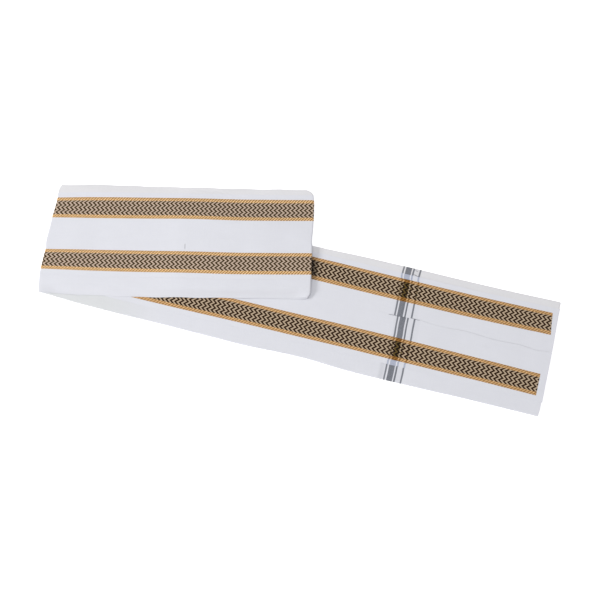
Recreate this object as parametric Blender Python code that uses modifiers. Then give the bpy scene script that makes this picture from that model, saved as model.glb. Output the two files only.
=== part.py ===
"""A folded angavastram, a long white cotton shoulder cloth with two woven zari borders, lying flat.

The cloth was folded to a band that shows two leaves and two borders on each face. The band lies on the
table as the lower stretch, turns over at a flat fold on the left, comes back on top as the upper stretch
and turns under at a second fold, so that its last length is tucked away. Every piece is worked out from
one description of that folded band: where a point lies along it, across it and below its outer face.

Metres, +Z up. The origin is under the middle of the cloth's bounding box, on the table.
"""

import math
from collections import namedtuple

import bpy
from mathutils import Vector

MM = 0.001

# The wall of each cloth piece, and the gap that two pieces keep at a seam or where they lie on each other
LEAF = 1.0
SEAM = 0.3
# The hidden plies between the two faces of the band
CORE = 1.5
# A woven border is this much thicker than the plain cloth beside it
BORDER_RELIEF = 0.15
# The plain strip from a border to the cloth's own edge
SELVEDGE = 5.8
# The ply that shows beyond a selvedge lies this much below the leaf on it
UNDER_PLY_STEP = 0.3

BAND = CORE + SEAM + LEAF
# The upper stretch lies one band and one gap above the table
STACK = BAND + SEAM
# Outer radius of both folds: the outer face runs once round two bands and the gap between them
FOLD_RADIUS = (2 * BAND + SEAM) / 2
# The hidden plies bend round a gap of this much at the middle of the left fold
FOLD_HEART = 0.4

# Middle of the left fold, and the directions in which the two stretches leave it
FOLD_X = -275.84
FOLD_Y = 65.58
LOWER_BEARING = math.radians(-13.9)
UPPER_BEARING = math.radians(-1.4)

# The end of the band that is tucked under: where its edge lies below the upper stretch, and how far the
# cloth above takes to climb on to it
TUCK_EDGE = 152.0
TUCK_CLIMB = 45.0
# Beside the lower stretch the upper one sinks to the table over this distance
SINK = 35.0
# A leaf of the upper stretch goes on under each fold by this much
WRAP_UNDER = 11.0
# A leaf of the lower stretch ends this far inside the left fold
INNER_START = 17.0
# The tied strip at the hidden end of an upper leaf, where its border is not parted from it
TIE = 4.0

# The hidden plies regain their thickness this far past the end of a leaf that turns under, over a ramp
WRAP_CLEAR = 1.0
WRAP_RAMP = 3.0
# They fill the left fold up to the first of these distances and lie at their usual depth from the second
HEART_FULL = 9.0
HEART_CLEAR = 16.0
# On the upper stretch they part from the fold's heart over this distance
HEART_RAMP = 3.0

# The rounded, layered edges of the hidden plies: how deep the groove between two plies is, what is left of
# it at its bottom, and the shares of a ply's thickness at which its fold is widest
EDGE_PLIES = 5
PLY_GROOVE = 0.5
PLY_SHOULDER = 0.12
PLY_WIDEST = (0.18, 0.82)
# The plies do not lie quite over each other: how far each wanders, over what length and how out of step
PLY_WANDER = 0.35
PLY_WAVE = 95.0
PLY_PHASE = 2.3
# Width of the step down from an under ply to where a leaf lies
MARGIN_SLOPE = 0.2

# Where each line of the lower stretch lies across the band, by distance from the left fold
LowerRow = namedtuple(
    "LowerRow", "along near_edge near_outer near_inner centre far_inner far_outer far_edge"
)
LOWER = [
    LowerRow(0, -59.0, -40.6, -17.0, 7.0, 25.2, 48.8, 63.0),
    LowerRow(60, -60.6, -40.5, -16.9, 7.0, 25.2, 48.8, 62.4),
    LowerRow(150, -61.4, -40.2, -16.8, 7.1, 25.3, 48.8, 62.0),
    LowerRow(235, -62.0, -39.4, -16.6, 7.2, 25.4, 48.9, 61.6),
    LowerRow(300, -60.2, -39.7, -16.1, 7.4, 25.5, 49.0, 62.0),
    LowerRow(345, -61.7, -39.9, -15.9, 7.5, 25.5, 48.8, 62.8),
    LowerRow(410, -63.0, -39.7, -15.9, 7.5, 25.2, 48.9, 63.3),
    LowerRow(485, -62.3, -39.7, -16.2, 7.3, 24.9, 49.6, 63.3),
    LowerRow(559, -61.9, -39.7, -16.4, 7.1, 26.9, 51.0, 64.3),
]

# The same lines on the upper stretch
UpperRow = namedtuple(
    "UpperRow", "along near_edge near_outer near_inner centre far_inner far_outer far_edge"
)
UPPER = [
    UpperRow(0, -61.0, -34.8, -12.7, 1.0, 24.4, 46.8, 62.4),
    UpperRow(45, -62.6, -35.3, -12.4, 1.0, 25.0, 48.4, 63.6),
    UpperRow(100, -63.7, -35.8, -12.2, 1.0, 25.4, 49.6, 63.8),
    UpperRow(150, -63.4, -36.1, -12.3, 1.0, 25.0, 49.5, 63.0),
    UpperRow(210, -62.9, -36.3, -12.2, 1.0, 24.9, 49.6, 62.6),
    UpperRow(291, -61.9, -34.6, -11.3, 1.0, 27.1, 50.6, 62.8),
]

# The outermost line of the left fold, by distance across, as each stretch measures it
LeftFold = namedtuple("LeftFold", "across on_lower on_upper")
LEFT_FOLD = [
    LeftFold(-62, 10.6, -2.2),
    LeftFold(-57, 9.3, -3.3),
    LeftFold(-48, 7.0, -3.8),
    LeftFold(-40, 4.4, -4.2),
    LeftFold(-20, 1.9, -2.4),
    LeftFold(0, 0.0, 0.0),
    LeftFold(30, -3.2, 3.4),
    LeftFold(57, -4.8, 7.4),
    LeftFold(63, -3.0, 11.0),
]

# The outermost line of the right fold, and the cut end of the band
RightFold = namedtuple("RightFold", "across on_upper")
RIGHT_FOLD = [
    RightFold(-63, 286.4),
    RightFold(-60, 287.8),
    RightFold(-55, 289.3),
    RightFold(-12, 289.3),
    RightFold(16, 290.7),
    RightFold(38, 291.7),
    RightFold(55, 291.3),
    RightFold(60, 288.6),
    RightFold(63, 283.4),
]
CutEnd = namedtuple("CutEnd", "across on_lower")
CUT_END = [
    CutEnd(-62, 556.0),
    CutEnd(-32, 557.4),
    CutEnd(-5, 558.3),
    CutEnd(22, 558.9),
    CutEnd(49, 559.1),
    CutEnd(64, 558.6),
]

# How far short of the cut end each border of the lower stretch stops, at its inner and its outer line
BorderEnd = namedtuple("BorderEnd", "at_inner at_outer")
FAR_BORDER_END = BorderEnd(6.2, 8.7)
NEAR_BORDER_END = BorderEnd(9.6, 9.2)
# The hidden plies stop this far short of the leaves at the cut end
CORE_SHORT = 0.8

# Faces across each strip of a leaf, and stations round a fold
GROUND_PARTS = 3
BORDER_PARTS = 2
SELVEDGE_PARTS = 1
TURN_STATIONS = 9
# Even stations of the lower leaves, up to this far short of the cut end
LOWER_LEAF_STATIONS = 20
LOWER_LEAF_STOP = 14.0
# Even sections of the hidden plies on the lower stretch, and the closer ones next to the left fold
LOWER_CORE_SECTIONS = 13
LOWER_CORE_STOP = 22.0
LOWER_CORE_CLOSE = (16.0, 14.0, 12.0, 9.0, 5.0)
# Even stations of the upper stretch, how far they keep from both folds, and the closer ones on the right
UPPER_STATIONS = 19
UPPER_START = 8.0
UPPER_STOP = 17.5
UPPER_CORE_CLOSE = (15.5, 13.5, 12.0, 8.0, 0.0)
# Degrees of the right fold at which the hidden plies' rounded end has a section
NOSE_TURNS = (30, 55, 75)
# Edges bent by more than this are shown sharp
SHARP_FROM = math.radians(40)

# A place along the folded band: the run it is on, and how far along that run, from 0 to 1
LOWER_RUN = "lower"
LEFT_TURN = "left"
UPPER_RUN = "upper"
RIGHT_TURN = "right"
Station = namedtuple("Station", "run at")

# How deep the outer and inner surface of the hidden plies lie, under the leaves and beyond their selvedges
Depths = namedtuple("Depths", "outer_leaf outer_margin inner_leaf inner_margin")

# The materials
Finish = namedtuple("Finish", "name colour roughness metallic")
COTTON = Finish("cotton", (0.84, 0.84, 0.88, 1.0), 0.85, 0.0)
PLIES = Finish("cotton_plies", (0.78, 0.78, 0.82, 1.0), 0.9, 0.0)
ZARI = Finish("zari", (0.33, 0.22, 0.11, 1.0), 0.55, 0.2)


def direction(bearing):
    """The unit vector along a bearing, and the one across it towards the far side."""
    along = Vector((math.cos(bearing), math.sin(bearing)))
    return along, Vector((-along.y, along.x))


LOWER_ALONG, LOWER_ACROSS = direction(LOWER_BEARING)
UPPER_ALONG, UPPER_ACROSS = direction(UPPER_BEARING)
FOLD_OUTWARD = -direction((LOWER_BEARING + UPPER_BEARING) / 2)[0]
FOLD_MIDDLE = Vector((FOLD_X, FOLD_Y))


def smooth_step(value):
    """0 below 0, 1 above 1, and an even S between."""
    held = min(max(value, 0.0), 1.0)
    return held * held * (3 - 2 * held)


def blend(first, second, share):
    """The value that lies this share of the way from the first to the second."""
    return first + (second - first) * share


def slopes_of(table, key, name):
    """The slope of a table's column at each row, from the rows beside it."""
    slopes = []
    for index in range(len(table)):
        before = table[max(index - 1, 0)]
        after = table[min(index + 1, len(table) - 1)]
        rise = getattr(after, name) - getattr(before, name)
        slopes.append(rise / (getattr(after, key) - getattr(before, key)))
    return slopes


def read_table(table, name, place):
    """A table's column at a place between its rows, on a smooth curve through them."""
    key = table[0]._fields[0]
    slopes = slopes_of(table, key, name)
    held = min(max(place, getattr(table[0], key)), getattr(table[-1], key))
    index = 0
    while index < len(table) - 2 and held > getattr(table[index + 1], key):
        index += 1
    start = getattr(table[index], key)
    span = getattr(table[index + 1], key) - start
    share = (held - start) / span
    low = getattr(table[index], name)
    high = getattr(table[index + 1], name)
    from_low = (1 + 2 * share) * (1 - share) ** 2 * low + share**2 * (3 - 2 * share) * high
    from_slopes = share * (1 - share) * (
        (1 - share) * slopes[index] - share * slopes[index + 1]
    )
    return from_low + span * from_slopes


def lower_length(at, across):
    """Distance from the left fold along the lower stretch, from the fold's axis at 0 to the cut end at 1."""
    axis = read_table(LEFT_FOLD, "on_lower", across) + FOLD_RADIUS
    return blend(axis, read_table(CUT_END, "on_lower", across), at)


def upper_length(at, across):
    """Distance from the left fold along the upper stretch, from one fold's axis at 0 to the other's at 1."""
    axis = read_table(LEFT_FOLD, "on_upper", across) + FOLD_RADIUS
    other_axis = read_table(RIGHT_FOLD, "on_upper", across) - FOLD_RADIUS
    return blend(axis, other_axis, at)


LOWER_SPAN = lower_length(1, 0) - lower_length(0, 0)
UPPER_SPAN = upper_length(1, 0) - upper_length(0, 0)


def lower_plan(at, across):
    """Where a point of the lower stretch lies on the table."""
    return FOLD_MIDDLE + lower_length(at, across) * LOWER_ALONG + across * LOWER_ACROSS


def upper_plan(at, across):
    """Where a point of the upper stretch lies on the table."""
    return FOLD_MIDDLE + upper_length(at, across) * UPPER_ALONG + across * UPPER_ACROSS


def bed_height(plan):
    """What the upper stretch lies on: the lower one, and beside that the table."""
    from_fold = plan - FOLD_MIDDLE
    along = from_fold.dot(LOWER_ALONG)
    beyond = from_fold.dot(LOWER_ACROSS) - read_table(LOWER, "far_edge", along)
    return STACK * (1 - smooth_step(beyond / SINK))


def stack_height(at):
    """Thickness of the upper stretch with what is tucked under it."""
    climbed = smooth_step((upper_length(at, 0) - TUCK_EDGE) / TUCK_CLIMB + 0.5)
    return BAND + STACK * climbed


def band_point(station, across, depth):
    """The point at this station, this far across and this far below the band's outer face."""
    if station.run == LOWER_RUN:
        plan = lower_plan(station.at, across)
        height = depth
    elif station.run == LEFT_TURN:
        turned = math.pi * station.at
        reach = (FOLD_RADIUS - depth) * math.sin(turned)
        axis = blend(lower_plan(0, across), upper_plan(0, across), station.at)
        plan = axis + reach * FOLD_OUTWARD
        height = FOLD_RADIUS - (FOLD_RADIUS - depth) * math.cos(turned)
    elif station.run == UPPER_RUN:
        plan = upper_plan(station.at, across)
        height = bed_height(plan) + stack_height(station.at) - depth
    else:
        # Past the half turn the run goes on below the cloth, by one wrap for each further unit
        turned = math.pi * min(station.at, 1.0)
        axis = upper_plan(1, across)
        reach = (FOLD_RADIUS - depth) * math.sin(turned)
        reach -= WRAP_UNDER * max(station.at - 1.0, 0.0)
        plan = axis + reach * UPPER_ALONG
        height = bed_height(plan) + FOLD_RADIUS + (FOLD_RADIUS - depth) * math.cos(turned)
    return Vector((plan.x * MM, plan.y * MM, height * MM))


def station_distance(station):
    """Distance of a station along the band from the left fold, negative on the lower stretch."""
    if station.run == LOWER_RUN:
        return -station.at * LOWER_SPAN
    return station.at * UPPER_SPAN if station.run == UPPER_RUN else 0.0


def line_across(station, name):
    """Where a named line of the cloth lies across the band at a station."""
    if station.run == LOWER_RUN:
        return read_table(LOWER, name, lower_length(station.at, 0))
    if station.run == LEFT_TURN:
        on_lower = read_table(LOWER, name, lower_length(0, 0))
        return blend(on_lower, read_table(UPPER, name, upper_length(0, 0)), station.at)
    if station.run == UPPER_RUN:
        return read_table(UPPER, name, upper_length(station.at, 0))
    return read_table(UPPER, name, upper_length(1, 0))


def outer_line(station, name):
    """A line of the face that shows on the upper stretch, which goes on unchanged round both folds."""
    if station.run in (LOWER_RUN, LEFT_TURN):
        return read_table(UPPER, name, upper_length(0, 0))
    return line_across(station, name)


def selvedges(line, station):
    """The two selvedges of the leaves on one face, near and far."""
    near = line(station, "near_outer") - SELVEDGE
    return near, line(station, "far_outer") + SELVEDGE


def core_depths(station):
    """The depths of the hidden plies' surfaces at a station."""
    covered = LEAF + SEAM
    heart = FOLD_RADIUS - FOLD_HEART / 2
    if station.run == LOWER_RUN:
        inside = station.at * LOWER_SPAN
        wrapped = 1 - smooth_step((inside - WRAP_UNDER - WRAP_CLEAR) / WRAP_RAMP)
        folded = 1 - smooth_step((inside - HEART_FULL) / (HEART_CLEAR - HEART_FULL))
        return Depths(
            covered * wrapped,
            UNDER_PLY_STEP * wrapped,
            blend(CORE, heart, folded),
            blend(BAND - UNDER_PLY_STEP, heart, folded),
        )
    if station.run == LEFT_TURN:
        return Depths(covered, UNDER_PLY_STEP, heart, heart)
    bottom = stack_height(station.at)
    to_end = (1 - station.at) * UPPER_SPAN
    wrapped = 1 - smooth_step((to_end - WRAP_UNDER - WRAP_CLEAR) / WRAP_RAMP)
    from_fold = smooth_step(station.at * UPPER_SPAN / HEART_RAMP)
    bottom = blend(heart, bottom, from_fold)
    return Depths(
        covered, UNDER_PLY_STEP, bottom - covered * wrapped, bottom - UNDER_PLY_STEP * wrapped
    )


def stations_between(run, first, last, count):
    """Evenly spaced stations of one run, both ends counted."""
    return [Station(run, blend(first, last, index / (count - 1))) for index in range(count)]


def upper_path():
    """The stations of the upper stretch, between its two folds."""
    first = UPPER_START / UPPER_SPAN
    last = 1 - UPPER_STOP / UPPER_SPAN
    return stations_between(UPPER_RUN, first, last, UPPER_STATIONS)


def covered_places(line, station):
    """Places across the part of a face that its leaves cover, on the lines where the leaves have points."""
    near_selvedge, far_selvedge = selvedges(line, station)
    places = [near_selvedge - SEAM]
    names = ("near_outer", "near_inner", "centre", "far_inner", "far_outer")
    parts = (BORDER_PARTS, GROUND_PARTS, GROUND_PARTS, BORDER_PARTS)
    for first, second, count in zip(names, names[1:], parts):
        start = line(station, first)
        end = line(station, second)
        places += [blend(start, end, index / count) for index in range(count)]
    return places + [line(station, "far_outer"), far_selvedge + SEAM]


def face_places(line, station, near_edge, far_edge):
    """Places across one face of the hidden plies: (across, whether a leaf covers it)."""
    covered = covered_places(line, station)
    places = [(near_edge, False), (covered[0] - MARGIN_SLOPE, False)]
    places += [(across, True) for across in covered]
    return places + [(covered[-1] + MARGIN_SLOPE, False), (far_edge, False)]


def core_ring(station):
    """One section of the hidden plies, round from the outer face to the inner one and back."""
    depths = core_depths(station)
    near_edge = line_across(station, "near_edge") + PLY_GROOVE
    far_edge = line_across(station, "far_edge") - PLY_GROOVE
    outer = face_places(outer_line, station, near_edge, far_edge)
    inner = face_places(line_across, station, near_edge, far_edge)
    ring = []
    for across, covered in outer:
        depth = depths.outer_leaf if covered else depths.outer_margin
        ring.append(band_point(station, across, depth))
    for across, depth in layered_edge(far_edge, 1, depths, station):
        ring.append(band_point(station, across, depth))
    for across, covered in reversed(inner):
        depth = depths.inner_leaf if covered else depths.inner_margin
        ring.append(band_point(station, across, depth))
    for across, depth in reversed(layered_edge(near_edge, -1, depths, station)):
        ring.append(band_point(station, across, depth))
    return ring


def layered_edge(edge, side, depths, station):
    """The rounded folds of the plies down one long edge: (across, depth) from the outer face inwards."""
    places = []
    for ply in range(EDGE_PLIES):
        phase = station_distance(station) / PLY_WAVE + PLY_PHASE * ply + side
        reach = PLY_GROOVE + PLY_WANDER * math.sin(phase)
        for share in PLY_WIDEST:
            depth = blend(depths.outer_margin, depths.inner_margin, (ply + share) / EDGE_PLIES)
            places.append((edge + side * reach, depth))
        if ply < EDGE_PLIES - 1:
            depth = blend(depths.outer_margin, depths.inner_margin, (ply + 1) / EDGE_PLIES)
            places.append((edge + side * PLY_SHOULDER, depth))
    return places


def nose_rings():
    """The rounded end of the hidden plies inside the right fold."""
    last = Station(UPPER_RUN, 1.0)
    flat = core_ring(last)
    rings = []
    for turned in NOSE_TURNS:
        angle = math.radians(turned)
        ring = []
        for point in flat:
            middle = bed_height(Vector((point.x, point.y)) / MM) * MM + FOLD_RADIUS * MM
            reach = (FOLD_RADIUS - LEAF - SEAM) * MM * math.sin(angle)
            height = middle + (point.z - middle) * math.cos(angle)
            moved = Vector((point.x, point.y)) + reach * UPPER_ALONG
            ring.append(Vector((moved.x, moved.y, height)))
        rings.append(ring)
    return rings


def new_object(name, points, faces, material, collection):
    """An object from its points and faces, with one material and smooth shading but for its edges."""
    mesh = bpy.data.meshes.new(name)
    mesh.from_pydata([tuple(point) for point in points], [], faces)
    mesh.validate()
    mesh.materials.append(material)
    mesh.shade_smooth()
    mesh.set_sharp_from_angle(angle=SHARP_FROM)
    placed = bpy.data.objects.new(name, mesh)
    collection.objects.link(placed)
    return placed


def loft(name, rings, material, collection):
    """A closed solid through sections with the same number of points."""
    count = len(rings[0])
    points = [point for ring in rings for point in ring]
    faces = []
    for row in range(len(rings) - 1):
        for index in range(count):
            after = (index + 1) % count
            here = row * count
            there = here + count
            faces.append((here + index, there + index, there + after, here + after))
    faces.append(tuple(range(count)))
    faces.append(tuple(range((len(rings) - 1) * count, len(rings) * count))[::-1])
    new_object(name, points, faces, material, collection)


def build_hidden_plies(material, collection):
    """All the plies that the leaves cover, one solid folded over at the left and layered at its edges."""
    short = 1 - CORE_SHORT / LOWER_SPAN
    stations = stations_between(
        LOWER_RUN, short, LOWER_CORE_STOP / LOWER_SPAN, LOWER_CORE_SECTIONS
    )
    stations += [Station(LOWER_RUN, inside / LOWER_SPAN) for inside in LOWER_CORE_CLOSE]
    stations += stations_between(LEFT_TURN, 0.0, 1.0, TURN_STATIONS)
    stations.append(Station(UPPER_RUN, HEART_RAMP / UPPER_SPAN))
    stations += upper_path()
    stations += [Station(UPPER_RUN, 1 - to_end / UPPER_SPAN) for to_end in UPPER_CORE_CLOSE]
    rings = [core_ring(station) for station in stations] + nose_rings()
    loft("hidden_plies", rings, material, collection)


def border_depth(station):
    """Depth of a border's face: a little proud of its leaf, but flush where it is turned down."""
    if station.run == LOWER_RUN:
        turned_under = station.at * LOWER_SPAN < WRAP_UNDER
        return 0.0 if turned_under else BAND + BORDER_RELIEF
    if station.run == UPPER_RUN:
        return -BORDER_RELIEF
    faces_up = station.at if station.run == LEFT_TURN else 1 - min(station.at, 1.0)
    return -BORDER_RELIEF * smooth_step(faces_up)


def sheet(name, rows, kept, depth_at, material, collection):
    """A cloth wall: a grid of (station, across) places on the band, given its thickness by Solidify."""
    columns = len(rows[0])
    points = [
        band_point(station, across, depth_at(station)) for row in rows for station, across in row
    ]
    faces = []
    for row in range(len(rows) - 1):
        for column in range(columns - 1):
            if kept(row, column):
                here = row * columns + column
                faces.append((here, here + columns, here + columns + 1, here + 1))
    used = sorted({index for face in faces for index in face})
    renumbered = {old: new for new, old in enumerate(used)}
    faces = [tuple(renumbered[index] for index in face) for face in faces]
    wall = new_object(name, [points[index] for index in used], faces, material, collection)
    solidify = wall.modifiers.new("wall", "SOLIDIFY")
    solidify.thickness = LEAF * MM
    solidify.offset = -1.0
    solidify.use_even_offset = True


def half_name(side, line):
    """The table column of a line on the far (1) or the near (-1) half of the band."""
    return ("far_" if side > 0 else "near_") + line


def strip(station, line, side, edges, parts):
    """Places across one strip of a leaf, from (line, offset outwards) to another, towards the far side."""
    ends = [line(station, name) + side * offset for name, offset in edges]
    places = [(station, blend(ends[0], ends[1], index / parts)) for index in range(parts + 1)]
    return places if side > 0 else places[::-1]


def leaf_row(ground_station, selvedge_station, line, side):
    """One row of a leaf: its ground, the slot for its border, its selvedge."""
    half = SEAM / 2
    inner = half_name(side, "inner")
    outer = half_name(side, "outer")
    ground = strip(ground_station, line, side, (("centre", half), (inner, -half)), GROUND_PARTS)
    selvedge = strip(
        selvedge_station, line, side, ((outer, half), (outer, SELVEDGE)), SELVEDGE_PARTS
    )
    return ground + selvedge if side > 0 else selvedge + ground


def border_row(inner_station, outer_station, line, side):
    """One row of a border, between two stations if its end is not square."""
    half = SEAM / 2
    edges = ((half_name(side, "inner"), half), (half_name(side, "outer"), -half))
    places = []
    for index in range(BORDER_PARTS + 1):
        share = index / BORDER_PARTS
        at = blend(inner_station.at, outer_station.at, share if side > 0 else 1 - share)
        station = Station(inner_station.run, at)
        places.append(strip(station, line, side, edges, BORDER_PARTS)[index])
    return places


def slot_column(side):
    """The grid column that the border's slot takes in a leaf's row."""
    return GROUND_PARTS if side > 0 else SELVEDGE_PARTS


def build_upper_leaf(half, side, materials, collection):
    """A leaf of the upper stretch, round both folds, and the border woven in it."""
    under = Station(LOWER_RUN, WRAP_UNDER / LOWER_SPAN)
    tied = Station(LOWER_RUN, (WRAP_UNDER - TIE) / LOWER_SPAN)
    freed = Station(LOWER_RUN, (WRAP_UNDER - TIE - SEAM) / LOWER_SPAN)
    path = stations_between(LEFT_TURN, 0.0, 1.0, TURN_STATIONS)
    path += upper_path()
    path += stations_between(RIGHT_TURN, 0.0, 1.0, TURN_STATIONS)
    path.append(Station(RIGHT_TURN, 2.0))
    rows = [leaf_row(station, station, outer_line, side) for station in [under, tied] + path]
    slot = slot_column(side)
    sheet(
        "upper_" + half + "_leaf", rows, lambda row, column: column != slot or row == 0,
        lambda station: 0.0, materials["cotton"], collection,
    )
    rows = [border_row(station, station, outer_line, side) for station in [freed] + path]
    sheet(
        "upper_" + half + "_border", rows, lambda row, column: True,
        border_depth, materials["zari"], collection,
    )


def from_cut_end(distance):
    """The station of the lower stretch this far short of its cut end."""
    return Station(LOWER_RUN, 1 - distance / LOWER_SPAN)


def build_lower_leaf(half, side, end, materials, collection):
    """A leaf of the lower stretch, from inside the left fold to the cut end, and the border woven in it."""
    first = INNER_START / LOWER_SPAN
    last = from_cut_end(LOWER_LEAF_STOP).at
    path = stations_between(LOWER_RUN, first, last, LOWER_LEAF_STATIONS)
    rows = [leaf_row(station, station, line_across, side) for station in path]
    rows.append(
        leaf_row(from_cut_end(end.at_inner), from_cut_end(end.at_outer), line_across, side)
    )
    rows.append(leaf_row(from_cut_end(0.0), from_cut_end(0.0), line_across, side))
    slot = slot_column(side)
    last_row = len(rows) - 2
    sheet(
        "lower_" + half + "_leaf", rows, lambda row, column: column != slot or row == last_row,
        lambda station: BAND, materials["cotton"], collection,
    )
    rows = [border_row(station, station, line_across, side) for station in path]
    inner = from_cut_end(end.at_inner + SEAM)
    outer = from_cut_end(end.at_outer + SEAM)
    rows.append(border_row(inner, outer, line_across, side))
    sheet(
        "lower_" + half + "_border", rows, lambda row, column: True,
        border_depth, materials["zari"], collection,
    )


def material_of(finish):
    """A plain Principled material."""
    material = bpy.data.materials.new(finish.name)
    material.use_nodes = True
    shader = material.node_tree.nodes["Principled BSDF"]
    shader.inputs["Base Color"].default_value = finish.colour
    shader.inputs["Roughness"].default_value = finish.roughness
    shader.inputs["Metallic"].default_value = finish.metallic
    material.diffuse_color = finish.colour
    return material


def main():
    """Clears the scene and builds the folded cloth."""
    for old in list(bpy.data.objects):
        bpy.data.objects.remove(old)
    collection = bpy.data.collections.new("angavastram")
    bpy.context.scene.collection.children.link(collection)
    materials = {"cotton": material_of(COTTON), "zari": material_of(ZARI)}
    build_hidden_plies(material_of(PLIES), collection)
    build_lower_leaf("far", 1, FAR_BORDER_END, materials, collection)
    build_lower_leaf("near", -1, NEAR_BORDER_END, materials, collection)
    build_upper_leaf("far", 1, materials, collection)
    build_upper_leaf("near", -1, materials, collection)


main()
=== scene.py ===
"""The looks of a folded angavastram, a long white cotton shoulder cloth with two woven zari borders.

The cloth lies flat, pleated to a narrow band and doubled back on itself. Everything here follows one map of
that band: where a point lies along it, across it and below its outer face. The leaves are thin sheets of
cotton, the plies between them run to and fro across the band as one pleated sheet, and the borders are a
raised weave on their leaves. Sizes are in millimetres and are turned into metres where a mesh is made.
"""

import logging
import math
from dataclasses import dataclass
from enum import Enum
from typing import Callable, Optional, Sequence, Union

import bpy
import numpy as np
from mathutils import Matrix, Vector


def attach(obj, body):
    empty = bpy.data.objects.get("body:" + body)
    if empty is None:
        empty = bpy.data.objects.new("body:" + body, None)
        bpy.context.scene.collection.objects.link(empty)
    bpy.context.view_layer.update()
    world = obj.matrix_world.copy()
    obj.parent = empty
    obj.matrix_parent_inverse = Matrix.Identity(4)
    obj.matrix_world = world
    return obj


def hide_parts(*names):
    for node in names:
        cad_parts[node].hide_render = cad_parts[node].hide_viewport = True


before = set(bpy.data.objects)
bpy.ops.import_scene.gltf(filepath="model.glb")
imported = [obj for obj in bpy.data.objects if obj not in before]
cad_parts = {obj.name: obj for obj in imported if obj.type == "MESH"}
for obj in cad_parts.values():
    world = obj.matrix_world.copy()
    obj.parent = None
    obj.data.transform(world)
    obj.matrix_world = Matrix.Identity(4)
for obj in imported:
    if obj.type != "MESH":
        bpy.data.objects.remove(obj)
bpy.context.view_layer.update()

MM = 0.001
ROOT = "root"
SHARP_FROM = math.radians(50.0)
Array = np.ndarray
Reals = Union[float, Array]
Pair = tuple[Array, Array]
Colour = tuple[float, float, float]
Piece = bpy.types.Object
Material = bpy.types.Material
Socket = bpy.types.NodeSocket

log = logging.getLogger("angavastram")


class Run(Enum):
    """The runs of the folded band, numbered as it passes through them."""

    LOWER = 0
    LEFT = 1
    UPPER = 2
    RIGHT = 3
    TUCK = 4


class Face(Enum):
    """The two faces of the band: the inner one shows on the lower stretch, the outer one on the upper."""

    INNER = "inner"
    OUTER = "outer"


class Half(Enum):
    """The half of the band that a leaf lies on, with its direction across."""

    NEAR = -1
    FAR = 1

    def label(self, thing: str) -> str:
        """The name of one of its things, such as near_outer or near_leaf."""
        return f"{self.name.lower()}_{thing}"


@dataclass(frozen=True)
class Station:
    """A place along the band: its run, and how far along that run, from 0 to 1."""

    run: Run
    at: float


@dataclass(frozen=True)
class Crease:
    """A soft ridge, or a trough if its height is negative, lying on one stretch."""

    along: float
    across: float
    bearing: float
    length: float
    width: float
    height: float


class Table:
    """Rows of named columns, read by the first column on a smooth curve through them."""

    def __init__(self, names: str, *rows: tuple[float, ...]) -> None:
        """Keeps the rows as columns, whose names are given in one line."""
        self.columns = dict(zip(names.split(), np.array(rows, float).T))
        self.key = next(iter(self.columns.values()))

    def read(self, name: str, place: Reals) -> Array:
        """A column's value at one or more places.

        Args:
            name: The column.
            place: Where along the table's first column, held inside its range.

        Returns:
            The values, shaped as the places are.
        """
        values, key = self.columns[name], self.key
        count = len(values)
        before = np.maximum(np.arange(count) - 1, 0)
        after = np.minimum(np.arange(count) + 1, count - 1)
        slopes = (values[after] - values[before]) / (key[after] - key[before])
        held = np.clip(place, key[0], key[-1])
        index = np.clip(np.searchsorted(key, held, side="left") - 1, 0, count - 2)
        span = key[index + 1] - key[index]
        share = (held - key[index]) / span
        rest = 1 - share
        from_values = (1 + 2 * share) * rest**2 * values[index]
        from_values = from_values + share**2 * (3 - 2 * share) * values[index + 1]
        return from_values + span * (share * rest * (rest * slopes[index] - share * slopes[index + 1]))


def smooth(value: Reals) -> Array:
    """0 below 0, 1 above 1, and an even S between."""
    held = np.clip(value, 0.0, 1.0)
    return held * held * (3 - 2 * held)


def heading(degrees: float) -> Pair:
    """The unit vectors in plan along a bearing, from +X towards +Y, and across it towards the far side."""
    turn = math.radians(degrees)
    return np.array([math.cos(turn), math.sin(turn)]), np.array([-math.sin(turn), math.cos(turn)])


@dataclass(frozen=True)
class BandSizes:
    """The sizes of the folded band, as the solids have them, and of the cotton in it."""

    ply: float = 0.28
    cloth: float = 0.22
    plies: int = 10
    gap: float = 0.3
    selvedge: float = 5.8
    fold_x: float = -275.84
    fold_y: float = 65.58
    lower_bearing: float = -13.9
    upper_bearing: float = -1.4
    climb_centre: float = 130.0
    climb: float = 96.0
    tuck_edge: float = 158.0
    sink: float = 35.0
    wrap_under: float = 11.0
    inner_start: float = 17.0
    calm: float = 16.0
    squareness: float = 4.2
    turn_points: int = 1441
    stretch_clear: float = 1.0
    roll: float = 0.8
    roll_at_fold: float = 0.5
    roll_width: float = 10.5
    settle: float = 0.25
    sag: float = 0.12
    sag_start: float = 220.0
    sag_run: float = 60.0
    sag_width: float = 40.0
    sag_inset: float = 0.45
    splay: float = 0.35

    @property
    def band(self) -> float:
        """Thickness of the band."""
        return self.ply * self.plies

    @property
    def stack(self) -> float:
        """Height at which the upper stretch lies on the lower one."""
        return self.band + self.gap

    @property
    def fold_radius(self) -> float:
        """Outer radius of both folds."""
        return (2 * self.band + self.gap) / 2


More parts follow.
